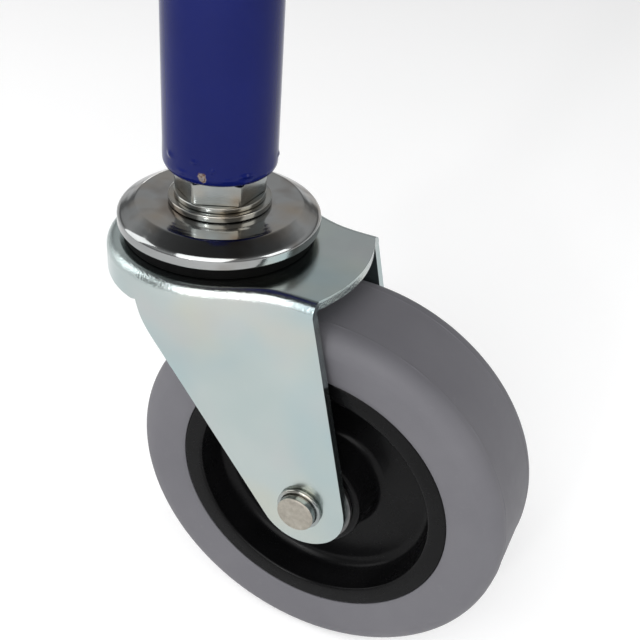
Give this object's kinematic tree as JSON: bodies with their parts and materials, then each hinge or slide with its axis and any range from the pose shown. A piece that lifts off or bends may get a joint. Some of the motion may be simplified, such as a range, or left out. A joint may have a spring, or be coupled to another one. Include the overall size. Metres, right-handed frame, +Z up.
{
  "type": "swivel stem caster on a leg tube",
  "caption": "Swivel caster with a ball-bearing head, a pressed fork and a solid rubber wheel, bolted to the foot of a round painted leg tube.",
  "frame": {"origin": "centre of the leg tube's open top end", "axes": "+Z runs up along the swivel axis, out of the tube's open end. The axle runs along Y and the wheel trails towards +X."},
  "size_m": [0.1117, 0.054, 0.2171],
  "materials": {
    "blue_paint": "thick gloss paint",
    "bright_zinc": "bright zinc plate",
    "polished_zinc": "pressed and polished zinc plate",
    "satin_zinc": "satin blue-white zinc plate with faint rainbow patches",
    "axle_steel": "cut end of a riveted axle",
    "bare_steel": "turned steel",
    "dark_steel": "dark oiled steel",
    "ball_steel": "ground bearing steel",
    "black_rubber": "matt black rubber",
    "grey_rubber": "matt moulded grey rubber",
    "black_plastic": "glossy moulded black plastic",
    "white_plastic": "plain white nylon"
  },
  "bodies": {
    "leg": {"leg_tube": "blue_paint", "end_plug": "bare_steel", "jam_nut": "bright_zinc", "spring_washer": "bright_zinc", "flat_washer": "bright_zinc", "stem_bolt": "bare_steel", "upper_cup": "polished_zinc", "dust_seal": "black_rubber", "race_spacer": "bare_steel", "lower_cup": "bare_steel"},
    "fork_head": {"fork": "satin_zinc", "axle_rivet": "axle_steel", "axle_collar": "bright_zinc", "axle_sleeve": "bare_steel", "thrust_washer_near": "dark_steel", "thrust_washer_far": "dark_steel"},
    "wheel": {"wheel_core": "black_plastic", "tyre": "grey_rubber", "bush_near": "white_plastic", "bush_far": "white_plastic"},
    "balls": {"upper_ball_01": "ball_steel", "upper_ball_02": "ball_steel", "upper_ball_03": "ball_steel", "upper_ball_04": "ball_steel", "upper_ball_05": "ball_steel", "upper_ball_06": "ball_steel", "upper_ball_07": "ball_steel", "upper_ball_08": "ball_steel", "upper_ball_09": "ball_steel", "upper_ball_10": "ball_steel", "upper_ball_11": "ball_steel", "upper_ball_12": "ball_steel", "upper_ball_13": "ball_steel", "upper_ball_14": "ball_steel", "upper_ball_15": "ball_steel", "upper_ball_16": "ball_steel", "lower_ball_01": "ball_steel", "lower_ball_02": "ball_steel", "lower_ball_03": "ball_steel", "lower_ball_04": "ball_steel", "lower_ball_05": "ball_steel", "lower_ball_06": "ball_steel", "lower_ball_07": "ball_steel", "lower_ball_08": "ball_steel", "lower_ball_09": "ball_steel", "lower_ball_10": "ball_steel", "lower_ball_11": "ball_steel", "lower_ball_12": "ball_steel"}
  },
  "joints": [
    {"name": "swivel", "type": "hinge", "parent": "leg", "child": "fork_head", "pos_m": [0, 0, -0.1074], "axis": [0, 0, 1], "continuous": true},
    {"name": "wheel_spin", "type": "hinge", "parent": "fork_head", "child": "wheel", "pos_m": [0.03465, 0, -0.1671], "axis": [0, 1, 0], "continuous": true},
    {"name": "ball_orbit", "type": "hinge", "parent": "leg", "child": "balls", "pos_m": [0, 0, -0.105], "axis": [0, 0, 1], "continuous": true}
  ],
  "couplings": [
    {"joint": "ball_orbit", "follows": "swivel", "ratio": 0.5}
  ]
}
